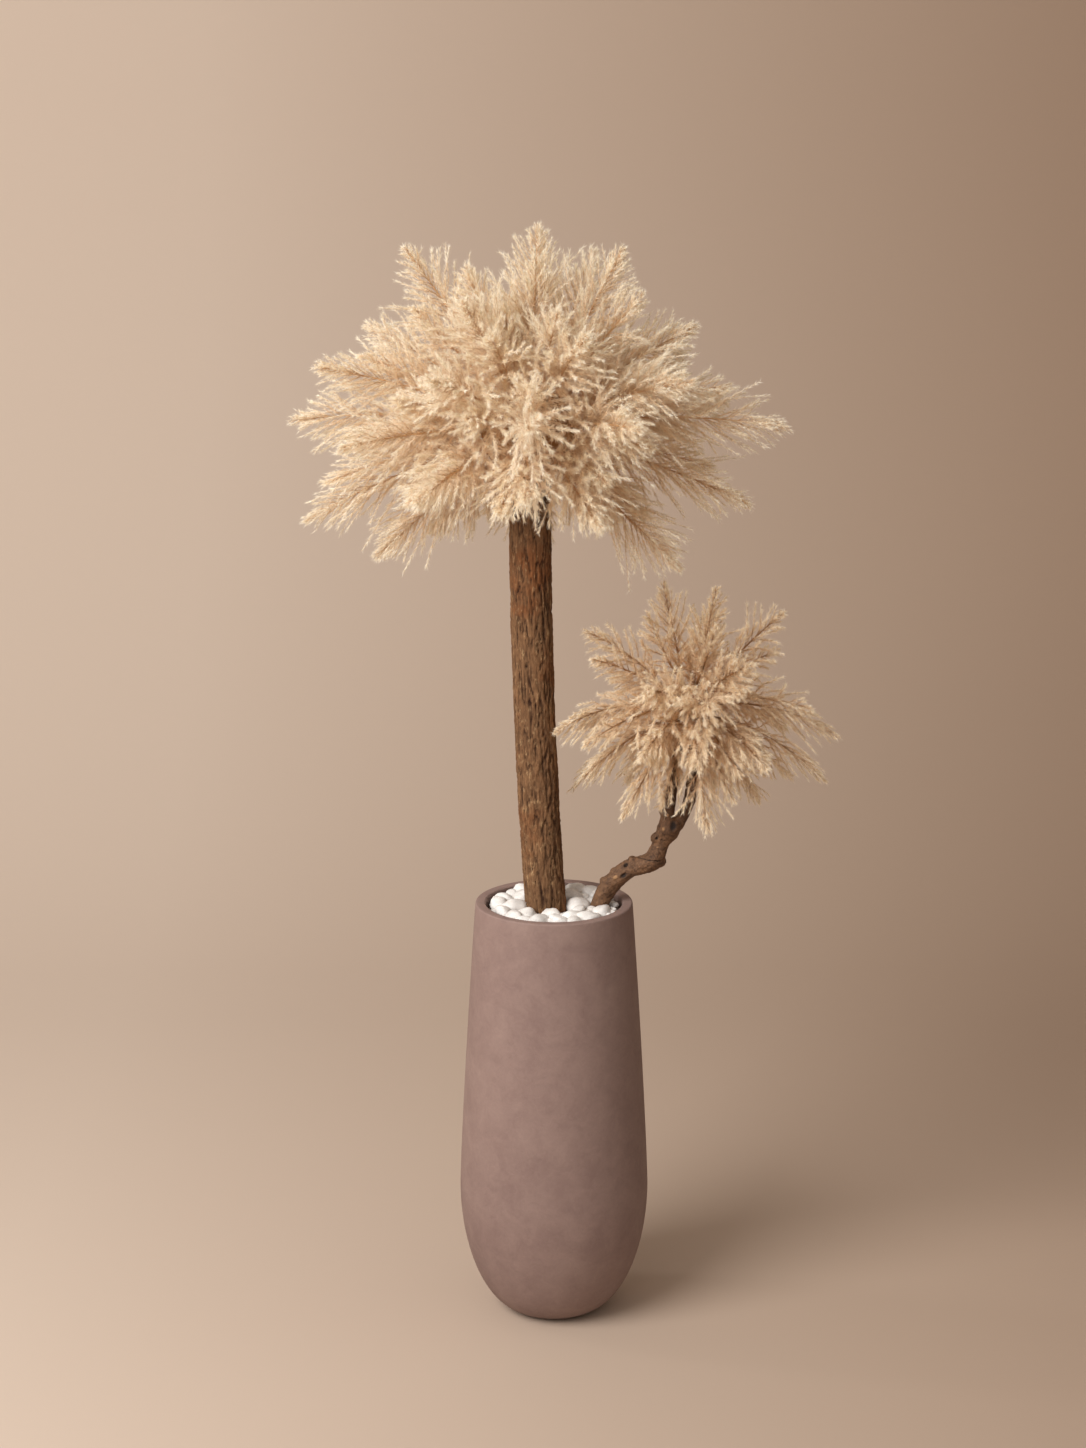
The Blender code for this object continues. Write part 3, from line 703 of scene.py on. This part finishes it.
crown = {
    "name": "crown", "centre": Vector((-0.0356, 0.0, 1.413)), "ball": 0.076, "count": 31,
    "reach": (0.335, 0.285, 0.255), "bare": math.radians(49), "droop": 0.50, "seed": 4,
    "width": 0.099, "branchlets": 96, "hairs": 98, "hair": 0.0125, "hair_half": 0.00042,
    "lean": (68, 26), "sweep": 0.50, "curl": 0.12, "sag": 0.07, "crowding": 0.82,
    "tips": (
        (0.011, 0.02, 0.304), (0.158, -0.02, 0.260), (0.255, 0.03, 0.142), (0.385, -0.02, 0.030),
        (0.335, 0.02, -0.105), (0.234, -0.03, -0.201), (-0.204, 0.02, 0.259),
        (-0.318, -0.02, 0.110), (-0.366, 0.02, -0.005), (-0.345, -0.03, -0.120),
        (-0.224, 0.02, -0.206), (-0.080, -0.03, 0.250),
        (0.000, -0.295, 0.070), (-0.020, -0.260, -0.080), (-0.135, -0.245, 0.085),
        (-0.180, -0.210, -0.085), (0.175, -0.230, 0.020), (0.115, -0.225, -0.095),
        (0.070, -0.190, 0.185), (-0.085, -0.165, 0.200), (0.250, -0.155, 0.100),
        (-0.275, -0.150, 0.020)),
}
head = {
    "name": "head", "centre": Vector((0.2085, -0.01, 0.985)), "ball": 0.040, "count": 22,
    "reach": (0.205, 0.175, 0.190), "bare": math.radians(38), "droop": 2.2, "seed": 11,
    "width": 0.061, "branchlets": 47, "hairs": 94, "hair": 0.0114, "hair_half": 0.00042,
    "lean": (64, 24), "sweep": 0.46, "curl": 0.14, "sag": 0.10, "crowding": 0.90,
    "tips": (
        (-0.058, 0.01, 0.190), (0.042, -0.02, 0.188), (0.154, 0.02, 0.131),
        (0.224, -0.02, -0.029), (0.205, 0.02, -0.132), (-0.088, -0.075, -0.160),
        (0.092, 0.070, -0.170), (-0.186, 0.02, -0.135), (-0.203, -0.075, -0.035),
        (-0.170, 0.01, 0.107),
        (-0.062, -0.135, 0.055), (0.010, -0.160, 0.040), (0.085, -0.120, 0.080),
        (0.015, -0.155, -0.045), (0.100, -0.120, -0.075), (-0.080, -0.130, -0.060)),
}


def plume_directions(group):
    """Those seen in outline first, then the rest, each as far as it can be from the others."""
    kept = []
    for x, y, z in group["tips"]:
        sag = group["droop"] * max(0.0, math.hypot(x, y) - group["ball"]) ** 2
        straight = Vector((x, y, z + sag))
        kept.append((straight.normalized(), straight.length))
    golden = math.pi * (3 - math.sqrt(5))
    candidates, tries = [], 900
    for k in range(tries):
        z = 1 - 2 * (k + 0.5) / tries
        flat = math.sqrt(1 - z * z)
        candidates.append(Vector((flat * math.cos(golden * k), flat * math.sin(golden * k), z)))
    candidates = [c for c in candidates if c.z > -math.cos(group["bare"])]
    rng = random.Random(group["seed"])
    wide, up, down = group["reach"]
    while len(kept) < group["count"]:
        best = max(candidates, key=lambda c: min(c.angle(d) for d, _ in kept))
        tall = up if best.z > 0 else down
        length = 1 / math.sqrt((1 - best.z**2) / wide**2 + best.z**2 / tall**2)
        kept.append((best, length * rng.uniform(0.88, 1.06)))
    return kept


def plume_axes(group):
    """For each stem, the direction that it leaves the foam in, and the direction and length of
    its two plumes."""
    places = plume_directions(group)
    rng = random.Random(group["seed"] + 1)
    made = []
    for number, (middle, length) in enumerate(places):
        others = [d for k, (d, _) in enumerate(places) if k != number]
        room = min(middle.angle(d) for d in others) / 2 * 0.94
        side = middle.orthogonal().normalized()
        side.rotate(Matrix.Rotation(rng.random() * math.tau, 3, middle))
        main = (middle * math.cos(room * 0.36) - side * math.sin(room * 0.36)).normalized()
        second = (middle * math.cos(room * 0.62) + side * math.sin(room * 0.62)).normalized()
        made.append((middle, (main, length), (second, length * rng.uniform(0.72, 0.9))))
    return made


def unit(vectors):
    return vectors / np.linalg.norm(vectors, axis=-1, keepdims=True)


def tubes(lines, radii, sides):
    """Closed slim tubes along lines of points, as vertices and triangles."""
    count, steps, _ = lines.shape
    ahead = unit(np.gradient(lines, axis=1))
    helper = np.where(np.abs(ahead[..., 2:]) < 0.9, [0.0, 0.0, 1.0], [1.0, 0.0, 0.0])
    side = unit(np.cross(ahead, helper))
    up = np.cross(ahead, side)
    turn = np.arange(sides) * math.tau / sides
    ring = (side[:, :, None] * np.cos(turn)[:, None] + up[:, :, None] * np.sin(turn)[:, None])
    places = (lines[:, :, None] + ring * radii[:, :, None, None]).reshape(-1, 3)
    base = np.arange(count)[:, None, None] * steps * sides
    row = np.arange(steps - 1)[None, :, None] * sides
    column = np.arange(sides)[None, None, :]
    a = base + row + column
    b = base + row + (column + 1) % sides
    walls = [np.stack((a, a + sides, b), -1), np.stack((b, a + sides, b + sides), -1)]
    corner = np.arange(1, sides - 1)
    start = np.arange(count)[:, None] * steps * sides
    end = start + (steps - 1) * sides
    caps = [np.stack((start + 0 * corner, start + corner, start + corner + 1), -1),
            np.stack((end + 0 * corner, end + corner + 1, end + corner), -1)]
    return places, np.concatenate([part.reshape(-1, 3) for part in walls + caps])


def grow_branchlets(group, rng, stalk_at, base, feather, direction, size):
    """Bent lines of three points all round a stalk, longest in its lower half, with the length of
    each and its share of the way up the feathered part."""
    across = unit(np.cross(direction, [0.3, 0.5, 0.81]))
    upward = np.cross(direction, across)
    golden_turn = 2.39996
    count = int(group["branchlets"] * size)
    up = ((np.arange(count) + rng.random(count)) / count) ** group["crowding"] * 0.97
    root = stalk_at(base + up * feather)
    turn = np.arange(count) * golden_turn + rng.normal(0, 0.3, count)
    out = across * np.cos(turn)[:, None] + upward * np.sin(turn)[:, None]
    widest, narrowest = group["lean"]
    lean = np.radians(widest + (narrowest - widest) * up + rng.normal(0, 6, count))
    fullness = 1.6 * np.sqrt(up + 0.14) * (1 - up) ** 0.66
    spread = group["width"] * (0.75 + 0.25 * size) * fullness * rng.uniform(0.55, 1.12, count)
    ahead_room = group["sweep"] * (1 - up) * feather + 0.005
    long = np.minimum(spread / np.sin(lean), ahead_room / np.cos(lean))
    share = np.linspace(0, 1, 3)
    forward = share * np.cos(lean)[:, None] + 0.14 * share**2
    outward = share * np.sin(lean)[:, None] * (1 - 0.16 * share)
    curl = rng.normal(0, group["curl"], (count, 1, 3)) * share[None, :, None] ** 2
    long *= 1 - 0.12 * np.maximum(0.0, -out[:, 2])
    sag = group["sag"] * share**2 * np.ones((count, 1))
    lines = (root[:, None] + long[:, None, None] * (
        forward[..., None] * direction + outward[..., None] * out[:, None] + curl
        - sag[..., None] * np.array((0, 0, 1.0))))
    return lines, long, up


def grow_hairs(group, rng, branchlets, stalk_at, base, length, size):
    """Single triangles that splay off the branchlets, each turned to face out of the plume."""
    lines, long, up = branchlets
    total = int(group["branchlets"] * group["hairs"] * size)
    owner = rng.choice(len(lines), total, p=long / long.sum())
    along = 0.12 + 0.88 * rng.random(total) ** 0.75
    step = along * 2
    first = np.minimum(step.astype(int), 1)
    part = (step - first)[:, None]
    foot = lines[owner, first] * (1 - part) + lines[owner, first + 1] * part
    ahead = unit(lines[owner, first + 1] - lines[owner, first])
    loose = unit(rng.normal(0, 1, (total, 3)))
    beside = unit(loose - ahead * (loose * ahead).sum(1, keepdims=True))
    splay = np.tan(np.radians(56 - 20 * along) * rng.uniform(0.35, 1.2, total))[:, None]
    way = unit(ahead + beside * splay - np.array((0, 0, 0.06)))
    hair = group["hair"] * (1.1 - 0.42 * along) * (1.1 - 0.35 * up[owner])
    hair *= rng.uniform(0.5, 1.3, total)
    behind = stalk_at(base + np.maximum(up - 0.25, 0.0) * (length - base))
    outside = unit(foot - behind[owner])
    facing = unit(outside + 0.7 * unit(rng.normal(0, 1, (total, 3))))
    flat = unit(np.cross(way, facing))
    half = group["hair_half"] * rng.uniform(0.8, 1.2, (total, 1))
    tip = foot + way * hair[:, None]
    corners = np.stack((foot - flat * half, foot + flat * half, tip), 1).reshape(-1, 3)

    # Hairs near the stalks and deep in the plume get a darker, warmer tone, tips and outer hairs a
    # lighter one: partly the straw's own colour, partly painted shade inside the fluff.
    centre = np.array(group["centre"])
    depth = np.clip((np.linalg.norm(foot - centre, axis=1) / length - 0.35) / 0.5, 0, 1)
    outward_tone_and_shade = (0.2 + 0.8 * along) * (0.25 + 0.75 * depth)
    strand = rng.random(total)
    tone = np.stack([
        np.stack((outward_tone_and_shade * 0.85, outward_tone_and_shade * 0.85, np.minimum(outward_tone_and_shade + 0.25, 1.0)), 1),
        np.repeat(strand[:, None], 3, 1),
        np.zeros((total, 3))], -1)
    return (corners, np.arange(total * 3).reshape(-1, 3)), tone.reshape(-1, 3)


def fluffy_plume(group, rng, middle, direction, length, start, size):
    """Vertices, triangles, and a tone for each vertex: how far out it is, which also sets the
    painted shade deep in the plume, a random strand, and whether it is stalk."""
    ball, centre = group["ball"], np.array(group["centre"])
    middle, direction = np.array(middle), np.array(direction)
    base = ball + 0.002
    feather = length - base

    def stalk_at(reach):
        turn = np.clip((reach - ball + 0.002) / (0.35 * feather), 0, 1)[:, None]
        turn = turn * turn * (3 - 2 * turn)
        return centre + unit(middle * (1 - turn) + direction * turn) * reach[:, None]

    reach = np.linspace(start, base + feather * 0.95, 14)
    stalk_radius = np.interp(reach, (start, base, length), (0.0024, 0.0020, 0.0005))[None]
    branchlets = grow_branchlets(group, rng, stalk_at, base, feather, direction, size)
    lines = branchlets[0]
    twig_radius = np.array((0.0006, 0.0004, 0.0002))[None].repeat(len(lines), 0)
    hairs, hair_tone = grow_hairs(group, rng, branchlets, stalk_at, base, length, size)
    parts = [tubes(stalk_at(reach)[None], stalk_radius, 5), tubes(lines, twig_radius, 3), hairs]
    tones = [np.tile((0.45, 0.5, 1.0), (len(parts[0][0]), 1)),
             np.tile((0.5, 0.5, 0.7), (len(parts[1][0]), 1)), hair_tone]

    vertices, triangles, offset = [], [], 0
    for places, faces in parts:
        vertices.append(places)
        triangles.append(faces + offset)
        offset += len(places)
    vertices = np.concatenate(vertices)
    reach = np.maximum(0.0, np.hypot(*(vertices - centre)[:, :2].T) - ball)
    vertices[:, 2] -= group["droop"] * reach**2
    return vertices, np.concatenate(triangles), np.concatenate(tones)


def straw_finish(name, inner_colour_and_shade, outer, stalk_colour, glow_colour):
    straw = Finish(name, 0.75, Specular_IOR_Level=0.25)
    tone = straw.node("ShaderNodeAttribute", output="Vector", attribute_name="tone")
    split = straw.node("ShaderNodeSeparateXYZ", {0: tone})
    outward_tone_and_shade, strand, stalk = (Wire(straw, socket) for socket in split.socket.node.outputs)
    cloud = straw.noise(14, 2.0)
    # The inner colour is partly the straw's own warmer tone and partly painted shade deep in the
    # plume.
    share = (outward_tone_and_shade * 1.12 + strand * 0.2 + cloud * 0.25 - 0.12).clamped()
    fluff = straw.blend(share, inner_colour_and_shade, outer)
    straw.paint(straw.blend(stalk, fluff, stalk_colour))
    glow = straw.node("ShaderNodeBsdfTranslucent", {"Color": glow_colour})
    straw.cover(0.45, glow)
    return straw.material


def make_plumes(group, material):
    rng = np.random.default_rng(group["seed"])
    for number, (middle, main, second) in enumerate(plume_axes(group)):
        name = f"{group['name']}_plume_{number + 1:02d}"
        big = fluffy_plume(group, rng, middle, *main, group["ball"] - 0.02, 1.0)
        small = fluffy_plume(group, rng, middle, *second, group["ball"] + 0.001, 0.7)
        vertices = np.concatenate((big[0], small[0]))
        triangles = np.concatenate((big[1], small[1] + len(big[0])))
        tones = np.concatenate((big[2], small[2]))
        mesh = bpy.data.meshes.new(f"{name}_fluff")
        mesh.vertices.add(len(vertices))
        mesh.vertices.foreach_set("co", vertices.astype(np.float32).ravel())
        mesh.loops.add(triangles.size)
        mesh.loops.foreach_set("vertex_index", triangles.astype(np.int32).ravel())
        mesh.polygons.add(len(triangles))
        mesh.polygons.foreach_set("loop_start", np.arange(len(triangles), dtype=np.int32) * 3)
        mesh.update(calc_edges=True)
        tone = mesh.attributes.new("tone", "FLOAT_VECTOR", "POINT")
        tone.data.foreach_set("vector", tones.astype(np.float32).ravel())
        plume = bpy.data.objects.new(f"{name}_fluff", mesh)
        bpy.context.scene.collection.objects.link(plume)
        finish_mesh(plume, material)
        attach(plume, "root")
        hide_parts(name)


# The first colour of each straw is its inner tone: partly the straw's own, partly painted shade deep
# in the plumes.
make_plumes(crown, straw_finish("crown_straw", shade_of(219, 170, 112), shade_of(255, 252, 240),
                                shade_of(206, 158, 108), shade_of(255, 240, 212)))
make_plumes(head, straw_finish("head_straw", shade_of(208, 160, 106), shade_of(255, 248, 230),
                               shade_of(150, 104, 66), shade_of(250, 228, 192)))
